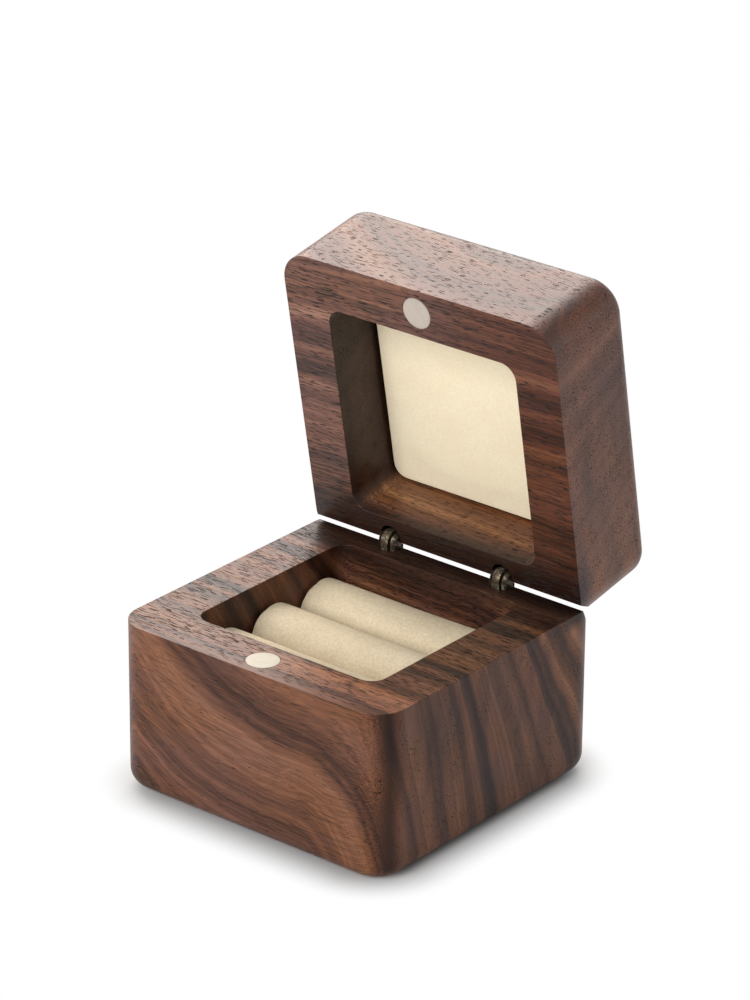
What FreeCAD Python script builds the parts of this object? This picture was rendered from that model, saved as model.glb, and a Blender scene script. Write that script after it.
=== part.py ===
import FreeCAD, Part
import math
import os

from FreeCAD import Vector

# Wooden ring box: two walnut blocks joined by a pair of barrel hinges, shown with the lid open.
# Millimetres, +X right, +Y rear, +Z up, origin at the middle of the base's underside.

# Blocks
box_width = 60.0
box_depth = 60.0
base_height = 32.0
lid_height = 20.0
corner_radius = 6.0
foot_radius = 3.5
crown_radius = 3.0
rim_radius = 0.12
rear_chamfer = 4.8
rear_chamfer_rise = 6.4
closed_gap = 0.4
open_angle = 79.4

# Hollows
base_wall = 9.8
lid_wall = 9.4
base_hollow_depth = 19.3
lid_crown = 6.0
hollow_radius = 3.0

# Barrel hinges
hinge_spacing = 25.2
barrel_diameter = 4.4
barrel_length = 12.0
barrel_inset = 5.5
barrel_fit = 0.02
pin_inset = 4.63
pin_rise = 1.19
pin_diameter = 1.0
pin_running_gap = 0.03
boss_diameter = 1.9
base_leaf = 1.6
lid_leaf = 0.35
leaf_gap = 0.05
cheek_width = 0.6
cheek_setback = 0.15
swing_gap = 0.1
stop_gap = 0.02
heel_length = 0.5
groove_count = 4
groove_pitch = 1.8
groove_width = 0.7
groove_depth = 0.15

# Magnets
magnet_diameter = 6.0
magnet_thickness = 2.5
magnet_fit = 0.08
magnet_inset = 4.6

# Ring rolls on their card
roll_count = 3
roll_gap = 0.3
roll_end_gap = 0.1
roll_end_radius = 0.6
roll_press = 0.1
velvet_thickness = 0.6
card_thickness = 1.5
card_gap = 0.25

# Lid pad
pad_drop = 10.8
pad_gap = 0.3
pad_card = 1.2
suede_thickness = 0.5
pad_edge_radius = 0.35

# Places that follow from the sizes
base_hollow_x = box_width - 2 * base_wall
base_hollow_y = box_depth - 2 * base_wall
lid_hollow_x = box_width - 2 * lid_wall
lid_hollow_y = box_depth - 2 * lid_wall
lid_rim = base_height + closed_gap
lid_top = lid_rim + lid_height
barrel_radius = barrel_diameter / 2
barrel_y = box_depth / 2 - barrel_inset
pin_y = box_depth / 2 - pin_inset
pin_z = base_height + pin_rise
magnet_y = magnet_inset - box_depth / 2
lid_pocket_roof = lid_top - lid_crown
base_floor = base_height - base_hollow_depth
card_top = base_floor + card_thickness
roll_pitch = (base_hollow_y - roll_gap) / roll_count
roll_radius = (roll_pitch - roll_gap) / 2
roll_z = card_top + roll_radius - roll_press
reach = box_width + box_depth + lid_top


def save(shape, name):
    shape.exportStep("parts/" + name + ".step")


def opened(shape):
    """The shape swung with the lid from its closed place to the open rest."""
    turned = shape.copy()
    turned.rotate(Vector(0, pin_y, pin_z), Vector(1, 0, 0), -open_angle)
    return turned


def box_between(x0, x1, y0, y1, z0, z1):
    return Part.makeBox(x1 - x0, y1 - y0, z1 - z0, Vector(x0, y0, z0))


def upright(radius, z0, z1, x=0.0, y=0.0):
    return Part.makeCylinder(radius, z1 - z0, Vector(x, y, z0))


def along_x(radius, x0, x1, y, z):
    return Part.makeCylinder(radius, x1 - x0, Vector(x0, y, z), Vector(1, 0, 0))


def is_upright(edge):
    span = edge.BoundBox
    return span.ZLength > 1e-3 and span.XLength < 1e-6 and span.YLength < 1e-6


def lies_at(edge, level):
    span = edge.BoundBox
    return abs(span.ZMin - level) < 1e-6 and abs(span.ZMax - level) < 1e-6


def edges_at(shape, level):
    return [e for e in shape.Edges if lies_at(e, level)]


def rounded_block(width, depth, z0, z1, radius):
    block = box_between(-width / 2, width / 2, -depth / 2, depth / 2, z0, z1)
    return block.makeFillet(radius, [e for e in block.Edges if is_upright(e)])


def chamfer_tool(level, side):
    """Wedge that cuts the rear rim edge: side 1 for a block above its rim, -1 for one below."""
    y0 = box_depth / 2 - rear_chamfer
    rise = reach * rear_chamfer_rise / rear_chamfer
    corners = ((-reach, -rise), (reach, rise), (reach, -rise))
    points = [Vector(-reach, y0 + dy, level + side * dz) for dy, dz in corners]
    face = Part.Face(Part.makePolygon(points + points[:1]))
    return face.extrude(Vector(2 * reach, 0, 0))


def hinge_places():
    return (("left", -hinge_spacing / 2), ("right", hinge_spacing / 2))


def carved_block(block, hollow, rim_level, side):
    """A block with its hollow, soft rim edges, rear chamfer, barrel holes and magnet pocket."""
    body = block.cut(hollow)
    body = body.makeFillet(rim_radius, edges_at(body, rim_level))
    body = body.cut(chamfer_tool(rim_level, side))
    deep = rim_level + side * barrel_length
    shallow = rim_level - side * reach
    for _, x in hinge_places():
        hole = upright(barrel_radius + barrel_fit, min(deep, shallow), max(deep, shallow), x, barrel_y)
        body = body.cut(hole)
    bed = rim_level + side * magnet_thickness
    pocket = upright(magnet_diameter / 2 + magnet_fit, min(bed, shallow), max(bed, shallow), 0, magnet_y)
    return body.cut(pocket)


def make_base_body():
    block = rounded_block(box_width, box_depth, 0, base_height, corner_radius)
    block = block.makeFillet(foot_radius, edges_at(block, 0))
    hollow = rounded_block(base_hollow_x, base_hollow_y, base_floor, base_height + 1, hollow_radius)
    return carved_block(block, hollow, base_height, -1)


def make_lid_body():
    block = rounded_block(box_width, box_depth, lid_rim, lid_top, corner_radius)
    block = block.makeFillet(crown_radius, edges_at(block, lid_top))
    hollow = rounded_block(lid_hollow_x, lid_hollow_y, lid_rim - 1, lid_pocket_roof, hollow_radius)
    return carved_block(block, hollow, lid_rim, 1)


# The leaves of one hinge run outwards from its middle: a wide base leaf, two thin lid leaves, two base cheeks.
lid_leaf_in = base_leaf / 2 + leaf_gap
lid_leaf_out = lid_leaf_in + lid_leaf
cheek_in = lid_leaf_out + leaf_gap
cheek_out = cheek_in + cheek_width
pin_length = 2 * lid_leaf_out
swing_radius = barrel_radius + pin_y - barrel_y + swing_gap
heel = barrel_y + math.sqrt(barrel_radius ** 2 - lid_leaf_out ** 2) - pin_y


def slab(x0, x1):
    return box_between(x0, x1, -reach, reach, -reach, 2 * reach)


def mirrored_slabs(x, u0, u1):
    return slab(x + u0, x + u1).fuse(slab(x - u1, x - u0))


def barrel_blank(x, z_end, side):
    """Barrel rod from its buried end to the pin's height, with ring grooves on its buried length."""
    rod = upright(barrel_radius, min(z_end, pin_z), max(z_end, pin_z), x, barrel_y)
    for i in range(groove_count):
        z = z_end - side * groove_pitch * (i + 1)
        ring = upright(barrel_radius + 1, z - groove_width / 2, z + groove_width / 2, x, barrel_y)
        core = upright(barrel_radius - groove_depth, z - groove_width, z + groove_width, x, barrel_y)
        rod = rod.cut(ring.cut(core))
    return rod


def pin_boss(x):
    column = upright(barrel_radius, pin_z - boss_diameter, pin_z + boss_diameter, x, barrel_y)
    return along_x(boss_diameter / 2, x - barrel_radius, x + barrel_radius, pin_y, pin_z).common(column)


def swing_drum(x):
    return along_x(swing_radius, x - barrel_radius - 1, x + barrel_radius + 1, pin_y, pin_z)


def front_of(y):
    return box_between(-reach, reach, -reach, y, -reach, 2 * reach)


def make_pin(x):
    return along_x(pin_diameter / 2, x - pin_length / 2, x + pin_length / 2, pin_y, pin_z)


def make_base_barrel(x):
    """Base half: a wide leaf round the pin, domed cheeks beside it, a heel that stops the open lid."""
    rod = barrel_blank(x, base_height - barrel_length, -1)
    ball = Part.makeSphere(barrel_radius, Vector(x, barrel_y, pin_z)).common(front_of(pin_y))
    web_rear = pin_y + heel * math.cos(math.radians(open_angle))
    stop_block = box_between(-reach, reach, pin_y + heel + stop_gap, reach, -reach, 2 * reach)
    heel_block = opened(stop_block).common(front_of(web_rear + heel_length))
    rear_part = rod.cut(front_of(web_rear))
    rear_part = rear_part.cut(chamfer_tool(base_height, -1)).fuse(rear_part.common(heel_block))
    front_part = rod.common(front_of(web_rear))
    dome = front_part.fuse(ball)
    leaf = dome.fuse(pin_boss(x)).common(slab(x - base_leaf / 2, x + base_leaf / 2))
    cheeks = dome.common(front_of(pin_y - cheek_setback)).common(mirrored_slabs(x, cheek_in, cheek_out))
    floor = front_part.cut(swing_drum(x)).fuse(rear_part)
    half = floor.fuse(leaf).fuse(cheeks).removeSplitter()
    bore = along_x(pin_diameter / 2 + pin_running_gap, x - pin_length / 2, x + pin_length / 2, pin_y, pin_z)
    return half.cut(bore)


def make_lid_barrel(x):
    """Lid half: two thin leaves that carry the pin, with flat backs that meet the base's heel."""
    rod = barrel_blank(x, lid_rim + barrel_length, 1)
    upper = box_between(-reach, reach, -reach, reach, pin_z, 2 * reach)
    web = rod.cut(swing_drum(x).common(front_of(barrel_y))).common(front_of(pin_y + heel))
    boss = pin_boss(x).common(front_of(pin_y + heel))
    leaves = web.fuse(boss).common(mirrored_slabs(x, lid_leaf_in, lid_leaf_out))
    half = rod.cut(swing_drum(x)).common(upper).fuse(leaves).removeSplitter()
    return half.cut(make_pin(x))


def make_magnet(z0):
    return upright(magnet_diameter / 2, z0, z0 + magnet_thickness, 0, magnet_y)


def roll_solid(radius, half_length, margin, y, flat):
    """A stuffed roll along X with softened ends, pressed flat on the card and into the hollow's corners."""
    rod = along_x(radius, -half_length, half_length, y, roll_z)
    rims = [e for e in rod.Edges if e.BoundBox.XLength < 1e-6]
    rod = rod.makeFillet(roll_end_radius, rims)
    room = rounded_block(base_hollow_x - 2 * margin, base_hollow_y - 2 * margin, flat, base_height,
                         max(hollow_radius - margin, roll_end_gap))
    return rod.common(room)


def make_roll(y):
    """The foam core and the velvet sleeve round it, open at both ends."""
    half_length = base_hollow_x / 2 - roll_end_gap
    inside = roll_gap / 2 + velvet_thickness
    outer = roll_solid(roll_radius, half_length, roll_gap / 2, y, card_top)
    core = roll_solid(roll_radius - velvet_thickness, half_length - velvet_thickness, inside, y,
                      card_top + velvet_thickness)
    window = along_x(roll_radius / 2, -half_length - 1, half_length + 1, y, roll_z)
    return core, outer.cut(core).cut(window)


def make_card():
    return rounded_block(base_hollow_x - 2 * card_gap, base_hollow_y - 2 * card_gap, base_floor, card_top,
                         hollow_radius - card_gap)


def make_pad():
    """Card, foam and the suede drawn over both, with its hem along the card's edge."""
    face = lid_rim + pad_drop
    wide, deep = lid_hollow_x - 2 * pad_gap, lid_hollow_y - 2 * pad_gap
    radius = hollow_radius - pad_gap
    card_low = lid_pocket_roof - pad_card
    skin = rounded_block(wide, deep, face, lid_pocket_roof, radius)
    skin = skin.makeFillet(pad_edge_radius, edges_at(skin, face))
    inner = rounded_block(wide - 2 * suede_thickness, deep - 2 * suede_thickness, face + suede_thickness,
                          lid_pocket_roof, radius - suede_thickness)
    foam = inner.common(box_between(-reach, reach, -reach, reach, 0, card_low))
    card = inner.common(box_between(-reach, reach, -reach, reach, card_low, reach))
    return card, foam, skin.cut(inner)


save(make_base_body(), "base_body")
save(opened(make_lid_body()), "lid_body")
save(make_magnet(base_height - magnet_thickness), "base_magnet")
save(opened(make_magnet(lid_rim)), "lid_magnet")
for side_name, hinge_x in hinge_places():
    save(make_base_barrel(hinge_x), "hinge_" + side_name + "_base_barrel")
    save(opened(make_lid_barrel(hinge_x)), "hinge_" + side_name + "_lid_barrel")
    save(opened(make_pin(hinge_x)), "hinge_" + side_name + "_pin")
save(make_card(), "insert_card")
for index, roll_name in enumerate(("front", "middle", "rear")):
    foam_core, sleeve = make_roll((index - (roll_count - 1) / 2) * roll_pitch)
    save(foam_core, "ring_roll_" + roll_name + "_core")
    save(sleeve, "ring_roll_" + roll_name + "_sleeve")
pad_parts = zip(("card", "foam", "suede"), make_pad())
for pad_name, pad_shape in pad_parts:
    save(opened(pad_shape), "lid_pad_" + pad_name)
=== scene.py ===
import math

import bmesh
import bpy
from mathutils import Matrix, Vector


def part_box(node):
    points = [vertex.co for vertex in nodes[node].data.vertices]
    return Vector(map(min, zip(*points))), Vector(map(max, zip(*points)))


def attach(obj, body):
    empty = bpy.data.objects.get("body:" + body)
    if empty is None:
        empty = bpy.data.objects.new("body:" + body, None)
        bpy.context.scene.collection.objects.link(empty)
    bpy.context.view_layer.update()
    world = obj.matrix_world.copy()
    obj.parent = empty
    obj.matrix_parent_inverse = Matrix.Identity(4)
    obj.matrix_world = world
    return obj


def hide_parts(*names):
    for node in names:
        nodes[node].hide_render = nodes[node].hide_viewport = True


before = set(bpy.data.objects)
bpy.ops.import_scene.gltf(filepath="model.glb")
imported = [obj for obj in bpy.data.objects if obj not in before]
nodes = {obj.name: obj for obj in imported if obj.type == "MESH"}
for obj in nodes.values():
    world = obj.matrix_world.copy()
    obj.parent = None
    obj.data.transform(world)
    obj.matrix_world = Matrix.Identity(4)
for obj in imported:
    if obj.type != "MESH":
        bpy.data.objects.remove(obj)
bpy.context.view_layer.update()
OPEN_ANGLE = math.radians(79.4)
PIN = Vector((0.0, 25.37, 33.19))


# Node building

class Tree:
    """Short calls for building one node tree."""

    def __init__(self, tree):
        self.nodes = tree.nodes
        self.links = tree.links
        self.nodes.clear()

    def put(self, socket, value):
        if isinstance(value, bpy.types.NodeSocket):
            self.links.new(value, socket)
        elif value is not None:
            socket.default_value = value

    def node(self, kind, inputs=None, **settings):
        made = self.nodes.new("ShaderNode" + kind)
        for name, value in settings.items():
            setattr(made, name, value)
        for name, value in (inputs or {}).items():
            self.put(made.inputs[name], value)
        return made

    def math(self, operation, first, second=None, clamp=False):
        made = self.node("Math", operation=operation, use_clamp=clamp)
        self.put(made.inputs[0], first)
        self.put(made.inputs[1], second)
        return made.outputs[0]

    def add(self, first, second):
        return self.math("ADD", first, second)

    def scale(self, first, second):
        return self.math("MULTIPLY", first, second)

    def range(self, value, low, high, to_low=0.0, to_high=1.0, smooth=True):
        made = self.node("MapRange", interpolation_type="SMOOTHSTEP" if smooth else "LINEAR")
        for name, item in (("Value", value), ("From Min", low), ("From Max", high),
                           ("To Min", to_low), ("To Max", to_high)):
            self.put(made.inputs[name], item)
        return made.outputs[0]

    def mix(self, factor, first, second, blend="MIX"):
        made = self.node("Mix", data_type="RGBA", blend_type=blend)
        self.put(made.inputs[0], factor)
        self.put(made.inputs[6], first)
        self.put(made.inputs[7], second)
        return made.outputs[2]

    def grey(self, value):
        made = self.node("CombineColor")
        for socket in made.inputs:
            self.put(socket, value)
        return made.outputs[0]

    def mapped(self, vector, place=(0, 0, 0), turn=(0, 0, 0), size=(1, 1, 1)):
        made = self.node("Mapping", {"Vector": vector, "Location": place, "Rotation": turn, "Scale": size})
        return made.outputs[0]

    def noise(self, vector, scale=1.0, detail=2.0, rough=0.5):
        made = self.node("TexNoise", {"Vector": vector, "Scale": scale, "Detail": detail,
                                      "Roughness": rough})
        return made.outputs[0]

    def line_noise(self, value, detail=2.0, rough=0.5):
        made = self.node("TexNoise", {"W": value, "Scale": 1.0, "Detail": detail, "Roughness": rough},
                         noise_dimensions="1D")
        return made.outputs[0]

    def ramp(self, value, stops):
        made = self.node("ValToRGB", {"Fac": value})
        band = made.color_ramp
        while len(band.elements) < len(stops):
            band.elements.new(0.5)
        for element, (place, colour) in zip(band.elements, stops):
            element.position = place
            element.color = (*colour, 1.0)
        return made.outputs[0]

    def bump(self, height, strength, distance):
        made = self.node("Bump", {"Height": height, "Strength": strength, "Distance": distance})
        return made.outputs[0]

    def object_mm(self, place=(0, 0, 0), turn=(0, 0, 0)):
        coordinates = self.node("TexCoord").outputs["Object"]
        return self.mapped(coordinates, place, turn, (1000.0, 1000.0, 1000.0))


def new_material(name, build):
    made = bpy.data.materials.new(name)
    made.use_nodes = True
    tree = Tree(made.node_tree)
    shader = tree.node("BsdfPrincipled")
    output = tree.node("OutputMaterial")
    tree.links.new(shader.outputs[0], output.inputs["Surface"])
    build(tree, shader)
    return made


def closed_frame():
    """Mapping that turns the open lid's points back to where they are when it is shut."""
    turn = Matrix.Rotation(OPEN_ANGLE, 3, "X")
    return tuple(PIN - turn @ PIN), (OPEN_ANGLE, 0.0, 0.0)


# Materials

def walnut(name, lid, ring_colours, seed, figure, curl, pores, across, painted_rim_tone, corner_shade_tone, end_shade_tone,
           tint, rear_light_tone, gloss):
    """Oiled walnut as a solid: leaning rings on end, sloping figure on the flats, pores along the grain.

    figure is the contrast of the rings on the flats and on end. pores is the change in pores inside, on the
    front and on end. across is the tone at the left and right. end_shade_tone is painted shade on the hollow's
    walls cut on end, and the tone of the outer faces cut on end.
    """
    def build(t, shader):
        point = t.object_mm(*closed_frame()) if lid else t.object_mm()
        axes = t.node("SeparateXYZ", {"Vector": point}).outputs
        x, y, z = axes["X"], axes["Y"], axes["Z"]
        facing = t.node("SeparateXYZ", {"Vector": t.node("TexCoord").outputs["Normal"]}).outputs["X"]
        end = t.range(t.math("ABSOLUTE", facing), 0.45, 0.9)
        inside = t.range(y, -30.0, -26.5)
        front = t.math("SUBTRACT", 1.0, inside)
        # Rings lean back further towards the rear, and swing down across the front.
        swing = t.scale(t.math("EXPONENT", t.scale(t.add(x, 30.0), -0.0625)), 22.0)
        swing = t.scale(swing, t.range(front, 0.0, 1.0, 0.12, 1.0, smooth=False))
        drop = t.math("SUBTRACT", 32.0, z)
        lean = t.math("SUBTRACT", drop, t.scale(t.scale(drop, drop), 0.0125))
        ring = t.math("DIVIDE", t.add(y, 30.0), t.add(t.scale(lean, 0.009), 1.0))
        slope = t.range(x, 12.0, 30.0, 0.42, 0.17)
        ring = t.math("SUBTRACT", ring, t.scale(t.add(drop, swing), slope))
        broad = t.noise(t.mapped(point, (seed, 0, 0), size=(0.02, 0.04, 0.035)), detail=1.0)
        wavy = t.noise(t.mapped(point, (0, seed, 0), (0, 0.17, 0), size=(0.05, 0.09, 0.08)), detail=2.0)
        ring = t.add(ring, t.scale(t.add(broad, -0.5), 5.0))
        ring = t.add(ring, t.scale(t.add(wavy, -0.5), 2.0))
        pulse = t.math("COSINE", t.scale(t.add(ring, 11.0), 2 * math.pi / 6.6))
        pulse = t.math("POWER", t.range(pulse, -1.0, 1.0, 1.0, 0.0, smooth=False), 0.6)
        drift = t.line_noise(t.add(t.scale(ring, 0.24), seed), 4.0, t.range(end, 0.0, 1.0, 0.62, 0.5))
        lines = t.line_noise(t.add(t.scale(ring, 1.5), seed), 2.0, 0.65)
        shadow = t.range(t.math("ABSOLUTE", t.add(ring, -19.5)), 5.0, 3.0)
        shadow = t.add(shadow, t.range(t.math("ABSOLUTE", t.add(ring, -43.0)), 4.5, 2.0))
        bands = t.scale(t.add(pulse, -0.6), t.range(front, 0.0, 1.0, 0.12, 0.30, smooth=False))
        bands = t.add(bands, t.scale(t.add(drift, -0.5), 1.1))
        bands = t.add(bands, t.scale(t.add(lines, -0.5), t.range(end, 0.0, 1.0, 0.34, 0.16)))
        bands = t.math("SUBTRACT", bands, t.scale(t.add(shadow, -0.25), t.scale(inside, 0.2)))
        bands = t.add(t.scale(bands, t.range(end, 0.0, 1.0, *figure)), 0.55)
        colour = t.ramp(t.range(bands, 0.18, 0.88, smooth=False), ring_colours)
        # Fibres: fine dark and pale streaks that follow the figure.
        sway = t.scale(t.add(t.noise(t.mapped(point, (seed, 9, 0), size=(0.06, 0.1, 0.1))), -0.5), curl)
        height = t.math("SUBTRACT", t.add(z, sway), t.scale(t.scale(swing, 0.45), front))
        along = t.node("CombineXYZ", {"X": x, "Y": t.add(y, sway), "Z": height}).outputs[0]
        fibre = t.noise(t.mapped(along, (seed, 0, 0), size=(0.07, 2.6, 3.2)), detail=4.0, rough=0.7)
        streak = t.noise(t.mapped(along, (0, 3, seed), (0, 0.06, 0), size=(0.12, 3.2, 3.8)), detail=1.0)
        patch = t.noise(t.mapped(point, (2, 0, seed), size=(0.06, 0.11, 0.13)), detail=1.0)
        gathered = t.add(t.scale(t.add(patch, -0.5), 0.4), t.range(bands, 0.35, 0.65, 0.06, -0.05))
        streak = t.range(t.add(streak, gathered), 0.52, 0.66)
        spread = t.range(end, 0.0, 1.0, 0.50, 0.13, smooth=False)
        tone = t.add(t.scale(t.range(fibre, 0.25, 0.75, -1.0, 1.0, smooth=False), spread), 1.0)
        dark = t.scale(t.range(end, 0.0, 1.0, 0.55, 0.16), t.range(front, 0.0, 1.0, 1.0, 0.65))
        tone = t.scale(tone, t.math("SUBTRACT", 1.0, t.scale(streak, dark)))
        # Pores: fine open dashes, gathered along the early wood, few on the faces cut along the rings.
        pore = t.noise(t.mapped(point, (0, seed, 3), size=(0.55, 5.2, 5.2)), detail=0.0)
        gather = t.noise(t.mapped(point, (5, 0, seed), size=(0.05, 0.22, 0.22)), detail=1.0)
        pore = t.add(pore, t.scale(t.add(gather, -0.5), 0.22))
        pore = t.add(pore, t.range(inside, 0.0, 0.4, pores[1], pores[0]))
        pore = t.range(t.add(pore, t.scale(end, pores[2])), 0.615, 0.685)
        tone = t.scale(tone, t.range(pore, 0.0, 1.0, 1.0, 0.2, smooth=False))
        # A dark streak along the hinge, where the lid and the base meet, is painted shade in that crease; soft
        # clouds on end, slow change across the board.
        hinge_shade = t.scale(t.range(y, 15.0, 22.0), t.range(t.math("ABSOLUTE", t.add(z, -32.2)), 3.5, 0.8))
        tone = t.scale(tone, t.range(hinge_shade, 0.0, 1.0, 1.0, 0.20, smooth=False))
        cloud_size = (0.05, 0.045, 0.20) if lid else (0.05, 0.20, 0.045)
        cloud = t.noise(t.mapped(point, (0, seed, 7), (0.25, 0, 0), size=cloud_size), detail=2.0)
        tone = t.scale(tone, t.add(t.scale(t.add(cloud, -0.5), t.scale(end, 1.8)), 1.0))
        tone = t.scale(tone, t.range(x, -26.0, 28.0, *across, smooth=False))
        flat = t.math("SUBTRACT", 1.0, end)
        # Painted light: a paler strip along the front of the rim, scaled by the tone given for the rim's
        # front, which is below 1 on the lid and there gives painted shade.
        painted_rim_patch = t.scale(t.scale(t.range(y, -18.0, -23.0), t.range(x, -8.0, 10.0)), t.scale(inside, flat))
        tone = t.scale(tone, t.range(painted_rim_patch, 0.0, 1.0, 1.0, painted_rim_tone, smooth=False))
        # Painted shade on the upright corners at the front; painted shade on the hollow's walls cut on end,
        # and a tone of their own for the outer faces cut on end.
        edge = t.scale(end, t.range(y, -24.5, -27.0))
        tone = t.scale(tone, t.range(edge, 0.0, 1.0, 1.0, corner_shade_tone, smooth=False))
        end_face_shade_tone = t.range(t.math("ABSOLUTE", x), 22.5, 26.5, end_shade_tone[0], end_shade_tone[1])
        tone = t.scale(tone, t.range(end, 0.0, 1.0, 1.0, end_face_shade_tone, smooth=False))
        # Colour: cool and warm drift, redder to the right, and painted light on the lid's rear, paler and
        # warmer.
        shade = t.mix(1.0, colour, t.grey(tone), "MULTIPLY")
        hue = t.add(t.scale(patch, 0.5), t.scale(cloud, 0.5))
        hue = t.mix(t.range(hue, 0.38, 0.62), (0.95, 0.99, 1.12, 1), (1.03, 1.0, 0.84, 1))
        shade = t.mix(1.0, shade, hue, "MULTIPLY")
        redder_right = t.scale(t.range(x, -12.0, 26.0), flat)
        shade = t.mix(redder_right, shade, t.mix(1.0, shade, tint, "MULTIPLY"))
        # Painted light: the lid's rear, higher than its rim, is made paler and warmer, less so on the faces
        # cut on end.
        rear_light_patch = t.scale(t.range(y, t.range(end, 0.0, 1.0, 13.0, -8.0), 20.0), t.range(z, 34.5, 38.0))
        rear_light_patch = t.scale(rear_light_patch, t.range(end, 0.0, 1.0, 1.0, 0.45, smooth=False))
        shade = t.mix(rear_light_patch, shade, t.mix(1.0, shade, rear_light_tone, "MULTIPLY"))
        t.put(shader.inputs["Base Color"], shade)
        rough = t.range(fibre, 0.3, 0.7, 0.33, 0.45, smooth=False)
        t.put(shader.inputs["Roughness"], t.add(rough, t.scale(pore, 0.35)))
        relief = t.math("SUBTRACT", t.scale(fibre, 0.4), t.add(pore, t.scale(streak, 0.15)))
        t.put(shader.inputs["Normal"], t.bump(relief, 0.6, 0.00006))
        shader.inputs["Specular IOR Level"].default_value = gloss
    return new_material(name, build)


def velvet(name, colour, shade, pile, sheen):
    """Short cream pile: fine nap, soft mottling where it has been brushed."""
    def build(t, shader):
        point = t.object_mm()
        nap = t.noise(point, pile, 2.0, 0.6)
        clump = t.noise(point, 1.9, 3.0, 0.6)
        brush = t.noise(t.mapped(point, size=(0.12, 0.2, 0.2)), detail=2.0)
        tone = t.add(t.scale(nap, 0.45), t.add(t.scale(clump, 0.33), t.scale(brush, 0.22)))
        t.put(shader.inputs["Base Color"], t.mix(t.range(tone, 0.36, 0.64), shade, colour))
        t.put(shader.inputs["Roughness"], t.range(nap, 0.3, 0.7, 0.85, 1.0))
        t.put(shader.inputs["Normal"], t.bump(t.add(nap, t.scale(clump, 0.8)), 0.5, 0.00012))
        shader.inputs["Specular IOR Level"].default_value = 0.15
        shader.inputs["Sheen Weight"].default_value = sheen
        shader.inputs["Sheen Roughness"].default_value = 0.45
        shader.inputs["Sheen Tint"].default_value = (1.0, 0.93, 0.78, 1.0)
    return new_material(name, build)


def old_bronze(t, shader):
    """Dark antique bronze with a brushed skin and paler rubbed places."""
    point = t.object_mm()
    cloud = t.noise(point, 0.9, 4.0, 0.65)
    brush = t.noise(t.mapped(point, size=(9.0, 0.9, 0.9)), detail=3.0)
    worn = t.range(t.noise(t.mapped(point, (7, 0, 0)), 1.3, 3.0, 0.65), 0.53, 0.66)
    tone = t.range(t.add(t.scale(cloud, 0.7), t.scale(brush, 0.3)), 0.32, 0.68)
    colour = t.mix(tone, (0.040, 0.029, 0.018, 1), (0.125, 0.093, 0.057, 1))
    colour = t.mix(t.scale(worn, 0.7), colour, (0.40, 0.34, 0.26, 1))
    t.put(shader.inputs["Base Color"], colour)
    t.put(shader.inputs["Roughness"], t.range(tone, 0.0, 1.0, 0.62, 0.46))
    t.put(shader.inputs["Normal"], t.bump(t.add(cloud, t.scale(brush, 0.5)), 0.4, 0.00008))
    shader.inputs["Metallic"].default_value = 0.85


def pin_steel(t, shader):
    """Drawn steel with fine turning lines."""
    point = t.object_mm()
    turned = t.noise(t.mapped(point, size=(14.0, 0.6, 0.6)), detail=2.0)
    t.put(shader.inputs["Base Color"], t.mix(turned, (0.35, 0.34, 0.33, 1), (0.6, 0.59, 0.57, 1)))
    t.put(shader.inputs["Roughness"], t.range(turned, 0.3, 0.7, 0.24, 0.4))
    t.put(shader.inputs["Normal"], t.bump(turned, 0.2, 0.00003))
    shader.inputs["Metallic"].default_value = 1.0


def plated(name, lid, colour, dim):
    """Satin nickel plating on a disc magnet: its pale colour is a painted reflection of the bright surround,
    with painted shade at its rounded lip.
    """
    def build(t, shader):
        point = t.object_mm(*closed_frame()) if lid else t.object_mm()
        satin = t.noise(point, 5.0, 3.0, 0.6)
        cloud = t.noise(point, 0.45, 2.0)
        centred = t.mapped(point, (0, 25.4, 0), size=(1, 1, 0))
        reach = t.node("VectorMath", {0: centred}, operation="LENGTH").outputs["Value"]
        # Painted shade: a dark ring at the disc's rounded lip, where it meets the wood.
        lip_shade = t.range(reach, 2.72, 2.98)
        tone = t.add(t.scale(satin, 0.45), t.scale(cloud, 0.55))
        face = t.mix(t.range(tone, 0.35, 0.65), dim, colour)
        t.put(shader.inputs["Base Color"], t.mix(t.scale(lip_shade, 0.55), face, (0.2, 0.17, 0.13, 1)))
        t.put(shader.inputs["Roughness"], t.range(satin, 0.3, 0.7, 0.46, 0.6))
        t.put(shader.inputs["Normal"], t.bump(satin, 0.12, 0.00004))
        shader.inputs["Specular IOR Level"].default_value = 0.2
        shader.inputs["Metallic"].default_value = 0.12
    return new_material(name, build)


def card_board(t, shader):
    """Grey-brown pressed board with loose fibres."""
    point = t.object_mm()
    fleck = t.noise(point, 2.2, 4.0, 0.7)
    t.put(shader.inputs["Base Color"], t.mix(fleck, (0.2, 0.14, 0.09, 1), (0.42, 0.32, 0.22, 1)))
    t.put(shader.inputs["Roughness"], t.range(fleck, 0.3, 0.7, 0.8, 0.95))
    t.put(shader.inputs["Normal"], t.bump(fleck, 0.3, 0.0001))


def foam_open(t, shader):
    """Pale open-cell foam."""
    point = t.object_mm()
    cells = t.node("TexVoronoi", {"Vector": point, "Scale": 1.6}).outputs["Distance"]
    t.put(shader.inputs["Base Color"], t.mix(cells, (0.42, 0.36, 0.25, 1), (0.72, 0.66, 0.52, 1)))
    t.put(shader.inputs["Roughness"], t.range(cells, 0.0, 1.0, 0.85, 1.0))
    t.put(shader.inputs["Normal"], t.bump(cells, 0.6, 0.0002))


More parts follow.
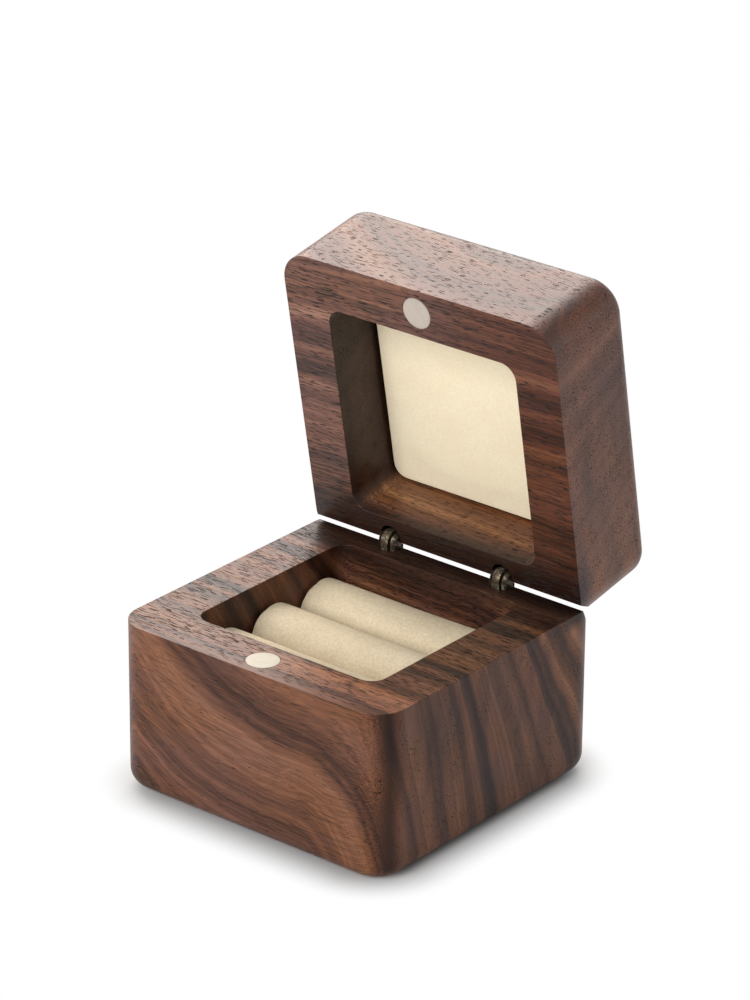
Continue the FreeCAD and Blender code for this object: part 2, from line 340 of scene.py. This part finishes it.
BASE_RINGS = ((0.0, (0.024, 0.0095, 0.0063)), (0.35, (0.069, 0.0275, 0.0168)),
              (0.65, (0.138, 0.056, 0.0315)), (1.0, (0.226, 0.104, 0.060)))
LID_RINGS = ((0.0, (0.036, 0.0125, 0.0085)), (0.35, (0.080, 0.030, 0.0185)),
             (0.65, (0.132, 0.053, 0.033)), (1.0, (0.230, 0.112, 0.066)))
base_wood = walnut("walnut_base", lid=False, ring_colours=BASE_RINGS, seed=3.0, figure=(1.12, 1.0),
                   curl=4.0, pores=(0.0, -0.13, -0.06), across=(1.08, 1.04),
                   painted_rim_tone=1.6, corner_shade_tone=0.3, end_shade_tone=(0.85, 1.0),
                   tint=(1.0, 0.97, 0.93, 1), rear_light_tone=(1.0, 1.0, 1.0, 1), gloss=0.17)
lid_wood = walnut("walnut_lid", lid=True, ring_colours=LID_RINGS, seed=11.0, figure=(0.85, 0.3),
                  curl=1.4, pores=(-0.02, -0.03, 0.0), across=(1.2, 0.92),
                  painted_rim_tone=0.92, corner_shade_tone=0.7, end_shade_tone=(0.3, 1.34),
                  tint=(0.82, 0.62, 0.50, 1), rear_light_tone=(1.42, 1.42, 1.02, 1), gloss=0.335)
roll_velvet = velvet("cream_velvet", (0.78, 0.67, 0.485, 1), (0.60, 0.50, 0.345, 1), 5.5, 0.3)
pad_suede = velvet("cream_suede", (0.89, 0.80, 0.60, 1), (0.83, 0.72, 0.515, 1), 3.6, 0.2)
bronze = new_material("antique_bronze", old_bronze)
steel = new_material("drawn_steel", pin_steel)
# The two discs are one plating: their pale colours are painted reflections of the bright surround, painted
# dimmer on the lid's disc.
base_disc_painted_reflection = plated("plated_base_disc", False, (0.51, 0.475, 0.395, 1), (0.47, 0.435, 0.355, 1))
lid_disc_painted_reflection = plated("plated_lid_disc", True, (0.47, 0.415, 0.36, 1), (0.425, 0.37, 0.325, 1))
board = new_material("pressed_board", card_board)
foam = new_material("open_foam", foam_open)

FINISH = {"base_body": base_wood, "lid_body": lid_wood, "base_magnet": base_disc_painted_reflection, "lid_magnet": lid_disc_painted_reflection,
          "insert_card": board, "lid_pad_card": board, "lid_pad_foam": foam}
for name, node in nodes.items():
    made = FINISH.get(name)
    if made is None:
        made = bronze if "barrel" in name else steel if "pin" in name else foam
    node.data.materials.clear()
    node.data.materials.append(made)


# Soft pieces

def inflate(mesh, pressure, cap, scale=20.0, frames=20):
    """Cloth under inner pressure at an enlarged scale; gives each point's capped movement in metres."""
    work = bpy.data.objects.new("work", mesh.copy())
    work.data.transform(Matrix.Scale(scale, 4))
    bpy.context.scene.collection.objects.link(work)
    cloth = work.modifiers.new("Cloth", "CLOTH")
    settings = cloth.settings
    settings.quality = 6
    settings.mass = 0.3
    settings.tension_stiffness = 12.0
    settings.compression_stiffness = 12.0
    settings.shear_stiffness = 6.0
    settings.bending_stiffness = 0.4
    settings.use_pressure = True
    settings.uniform_pressure_force = pressure
    settings.effector_weights.gravity = 0.0
    cloth.collision_settings.use_collision = False
    scene = bpy.context.scene
    for step in range(1, frames + 1):
        scene.frame_set(step)
    shaped = work.evaluated_get(bpy.context.evaluated_depsgraph_get()).data
    moves = []
    for before, after in zip(mesh.vertices, shaped.vertices):
        move = after.co / scale - before.co
        moves.append(move * min(1.0, cap / max(move.length, 1e-9)))
    bpy.data.objects.remove(work)
    scene.frame_set(1)
    return moves


def tube_mesh(name, length, radius, end_radius, around, along):
    """Closed roll about X with rounded shoulders and end discs of rings."""
    bm = bmesh.new()
    rings = []
    stations = []
    for i in range(5):
        stations.append((-length / 2, (radius - end_radius) * (i + 1) / 5))
    for i in range(1, 5):
        a = math.pi / 2 * i / 4
        inset = end_radius * (1 - math.cos(a))
        stations.append((-length / 2 + inset, radius - end_radius * (1 - math.sin(a))))
    inner = length / 2 - end_radius
    for i in range(1, along):
        stations.append((-inner + 2 * inner * i / along, radius))
    stations += [(-x, r) for x, r in reversed(stations[:9])]
    turns = [2 * math.pi * k / around for k in range(around)]
    for x, r in stations:
        rings.append([bm.verts.new((x, r * math.cos(a), r * math.sin(a))) for a in turns])
    for first, second in zip(rings, rings[1:]):
        for k in range(around):
            bm.faces.new((first[k], first[(k + 1) % around], second[(k + 1) % around], second[k]))
    for ring, x in ((rings[0], -length / 2), (rings[-1], length / 2)):
        tip = bm.verts.new((x, 0, 0))
        for k in range(around):
            bm.faces.new((ring[k], ring[(k + 1) % around], tip))
    bmesh.ops.recalc_face_normals(bm, faces=bm.faces)
    mesh = bpy.data.meshes.new(name)
    bm.to_mesh(mesh)
    bm.free()
    return mesh


def soft_limit(value, limit, ease):
    """Holds value under limit, bending over smoothly within ease of it."""
    over = value - (limit - ease)
    if over <= 0:
        return value
    return limit - ease + ease * (1 - math.exp(-over / ease))


def ring_roll(which):
    """One stuffed velvet roll in the room its CAD sleeve holds."""
    low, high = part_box(f"ring_roll_{which}_sleeve")
    centre = (low + high) / 2
    size = high - low
    radius = size.y / 2
    name = f"ring_roll_{which}_velvet"
    mesh = tube_mesh(name, size.x - 0.0002, radius - 0.00015, 0.0005, 48, 30)
    moves = inflate(mesh, 4.0, 0.0003)
    for vertex, move in zip(mesh.vertices, moves):
        vertex.co += move
    foot = low.z - (high.z - radius)
    for vertex in mesh.vertices:
        x, y, z = vertex.co
        rise = 0.0001 + 0.00015 * math.sin(math.pi * x / size.x) ** 2
        z = z + rise if z > 0 else z
        z = -soft_limit(-z, -foot, 0.0006)
        y = math.copysign(soft_limit(abs(y), radius - 0.00002, 0.0004), y)
        x = math.copysign(soft_limit(abs(x), size.x / 2 - 0.00002, 0.0002), x)
        vertex.co = (centre.x + x, centre.y + y, high.z - radius + z)
    piece = finish_soft(name, mesh, roll_velvet, "base")
    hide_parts(f"ring_roll_{which}_sleeve", f"ring_roll_{which}_core")


def finish_soft(name, mesh, material, body):
    """Makes the soft piece from its mesh and rides it on its body."""
    mesh.materials.append(material)
    for face in mesh.polygons:
        face.use_smooth = True
    piece = bpy.data.objects.new(name, mesh)
    bpy.context.scene.collection.objects.link(piece)
    smooth = piece.modifiers.new("Subdivision", "SUBSURF")
    smooth.levels = 1
    smooth.render_levels = 1
    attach(piece, body)
    return piece


def pad_mesh(name, half, corner, edge, depth, count):
    """Rounded square slab, show face towards -Z, as rings from the middle of the face to the back."""
    def outline(reach):
        """Points of a rounded square whose flats lie at reach from the middle."""
        r = corner * reach / half
        flat = reach - r
        points = []
        for quarter in range(4):
            turn = math.pi / 2 * quarter
            for i in range(count):
                s = i / count
                if s < 0.35:
                    p = Vector((reach, flat * s / 0.35))
                elif s < 0.65:
                    a = math.pi / 2 * (s - 0.35) / 0.3
                    p = Vector((flat + r * math.cos(a), flat + r * math.sin(a)))
                else:
                    p = Vector((flat - flat * (s - 0.65) / 0.35, reach))
                points.append(Matrix.Rotation(turn, 2) @ p)
        return points
    rings = []
    for i in range(1, 15):
        rings.append((half - edge) * i / 14)
    stations = [(r, 0.0) for r in rings]
    for i in range(1, 5):
        a = math.pi / 2 * i / 4
        stations.append((half - edge * (1 - math.sin(a)), edge * (1 - math.cos(a))))
    stations.append((half, depth * 0.6))
    stations.append((half, depth))
    bm = bmesh.new()
    made = [[bm.verts.new((p.x, p.y, z)) for p in outline(reach)] for reach, z in stations]
    total = 4 * count
    for first, second in zip(made, made[1:]):
        for k in range(total):
            bm.faces.new((first[k], first[(k + 1) % total], second[(k + 1) % total], second[k]))
    tip = bm.verts.new((0, 0, 0))
    back = bm.verts.new((0, 0, depth))
    for k in range(total):
        bm.faces.new((made[0][(k + 1) % total], made[0][k], tip))
        bm.faces.new((made[-1][k], made[-1][(k + 1) % total], back))
    bmesh.ops.recalc_face_normals(bm, faces=bm.faces)
    mesh = bpy.data.meshes.new(name)
    bm.to_mesh(mesh)
    bm.free()
    return mesh


def lid_pad():
    """The suede pad, made lying face down in the shut lid's frame and turned up with the lid."""
    corners = [v.co for v in nodes["lid_pad_suede"].data.vertices]
    pin = PIN / 1000
    shut = Matrix.Translation(pin) @ Matrix.Rotation(OPEN_ANGLE, 4, "X") @ Matrix.Translation(-pin)
    points = [shut @ c for c in corners]
    low = Vector([min(p[i] for p in points) for i in range(3)])
    high = Vector([max(p[i] for p in points) for i in range(3)])
    half = (high.x - low.x) / 2
    middle = Vector(((low.x + high.x) / 2, (low.y + high.y) / 2, low.z))
    depth = high.z - low.z
    mesh = pad_mesh("lid_pad_cover", half - 0.00005, 0.0027, 0.0004, depth, 20)
    moves = inflate(mesh, 4.0, 0.00035)
    for vertex, move in zip(mesh.vertices, moves):
        vertex.co += move
    for vertex in mesh.vertices:
        x, y, z = vertex.co
        reach = max(abs(x), abs(y)) / half
        if z < depth * 0.5:
            z += 0.00015 - 0.00015 * max(0.0, 1 - reach ** 4)
        x = math.copysign(soft_limit(abs(x), half, 0.0002), x)
        y = math.copysign(soft_limit(abs(y), half, 0.0002), y)
        z = min(max(z, 0.0), depth)
        vertex.co = shut.inverted() @ (middle + Vector((x, y, z)))
    piece = finish_soft("lid_pad_cover", mesh, pad_suede, "lid")
    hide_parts("lid_pad_suede")


for which in ("front", "middle", "rear"):
    ring_roll(which)
lid_pad()


# Floor, light and camera

def seen_ray(t):
    """1 for the camera and for what metal and gloss show of the surround, 0 for the light on the object."""
    path = t.node("LightPath").outputs
    mirrored = t.add(path["Is Glossy Ray"], path["Is Transmission Ray"])
    return t.math("ADD", path["Is Camera Ray"], mirrored, True)


def floor():
    """Pale matt floor that shows the box's real shadow near it, deepened by painted shade, and is plain white
    to the camera beyond it.
    """
    bm = bmesh.new()
    bmesh.ops.create_grid(bm, x_segments=8, y_segments=8, size=4.0)
    mesh = bpy.data.meshes.new("floor")
    bm.to_mesh(mesh)
    bm.free()
    made = bpy.data.objects.new("floor", mesh)
    made.location.z = -0.0001
    bpy.context.scene.collection.objects.link(made)
    material = bpy.data.materials.new("white_floor")
    material.use_nodes = True
    t = Tree(material.node_tree)
    seen = seen_ray(t)
    spot = t.node("VectorMath", {0: t.node("TexCoord").outputs["Object"]}, operation="ABSOLUTE").outputs[0]
    beyond = t.node("VectorMath", {0: spot, 1: (0.02, 0.02, 1.0)}, operation="SUBTRACT").outputs[0]
    beyond = t.node("VectorMath", {0: beyond, 1: (0, 0, 0)}, operation="MAXIMUM").outputs[0]
    reach = t.node("VectorMath", {0: beyond}, operation="LENGTH").outputs["Value"]
    glow = t.node("Emission", {"Color": (1, 1, 1, 1), "Strength": 1.0})
    # Painted shade: to the camera the matt floor is half as pale as the floor that lights the box, which
    # darkens the floor near the box beyond its real shadow; the white glow fades in only a little way out from
    # the box.
    matt = t.node("BsdfDiffuse", {"Color": t.mix(seen, (0.88, 0.88, 0.88, 1), (0.5, 0.5, 0.5, 1))})
    both = t.node("MixShader", {"Fac": t.scale(seen, t.range(reach, 0.007, 0.018))})
    t.links.new(matt.outputs[0], both.inputs[1])
    t.links.new(glow.outputs[0], both.inputs[2])
    output = t.node("OutputMaterial")
    t.links.new(both.outputs[0], output.inputs["Surface"])
    mesh.materials.append(material)


def surround():
    """World that is white where it is seen and a weak fill for the object."""
    world = bpy.data.worlds.new("studio")
    bpy.context.scene.world = world
    world.use_nodes = True
    t = Tree(world.node_tree)
    seen = seen_ray(t)
    strength = t.range(seen, 0.0, 1.0, 0.15, 1.0, smooth=False)
    background = t.node("Background", {"Color": (1, 1, 1, 1), "Strength": strength})
    output = t.node("OutputWorld")
    t.links.new(background.outputs[0], output.inputs["Surface"])


def softbox(name, place, aim, width, height, power, colour=(1, 1, 1)):
    light = bpy.data.lights.new(name, "AREA")
    light.shape = "RECTANGLE"
    light.size = width
    light.size_y = height
    light.energy = power
    light.color = colour
    made = bpy.data.objects.new(name, light)
    made.location = place
    made.rotation_mode = "QUATERNION"
    made.rotation_quaternion = (Vector(aim) - Vector(place)).to_track_quat("-Z", "Y")
    made.visible_camera = False
    bpy.context.scene.collection.objects.link(made)


def camera():
    """The photograph's viewing angle."""
    data = bpy.data.cameras.new("camera")
    data.sensor_width = 36.0
    data.lens = 165.28
    data.clip_start = 0.05
    data.clip_end = 50.0
    made = bpy.data.objects.new("camera", data)
    place = Vector((0.456585, -0.555747, 0.377268))
    aim = Vector((0.002504, 0.001323, 0.053384))
    back = (place - aim).normalized()
    right = Vector((0.772953, 0.634419, 0.007510)).normalized()
    up = back.cross(right).normalized()
    right = up.cross(back)
    turn = Matrix((right, up, back)).transposed().to_4x4()
    made.matrix_world = Matrix.Translation(place) @ turn
    bpy.context.scene.collection.objects.link(made)
    bpy.context.scene.camera = made


floor()
surround()
softbox("overhead", (-0.1, 0.25, 0.95), (0, 0, 0.03), 0.7, 0.7, 1.5)
softbox("rear_left", (-0.62, 0.55, 0.69), (0, 0, 0.05), 0.9, 0.8, 15.0, (1.0, 0.92, 0.86))
softbox("front", (0.0, -0.90, 0.55), (0, 0, 0.05), 0.6, 0.6, 10.0)
softbox("right_rear", (0.80, 0.72, 0.30), (0, 0, 0.05), 0.5, 0.5, 1.0)
camera()
bpy.context.scene.view_settings.view_transform = "Standard"
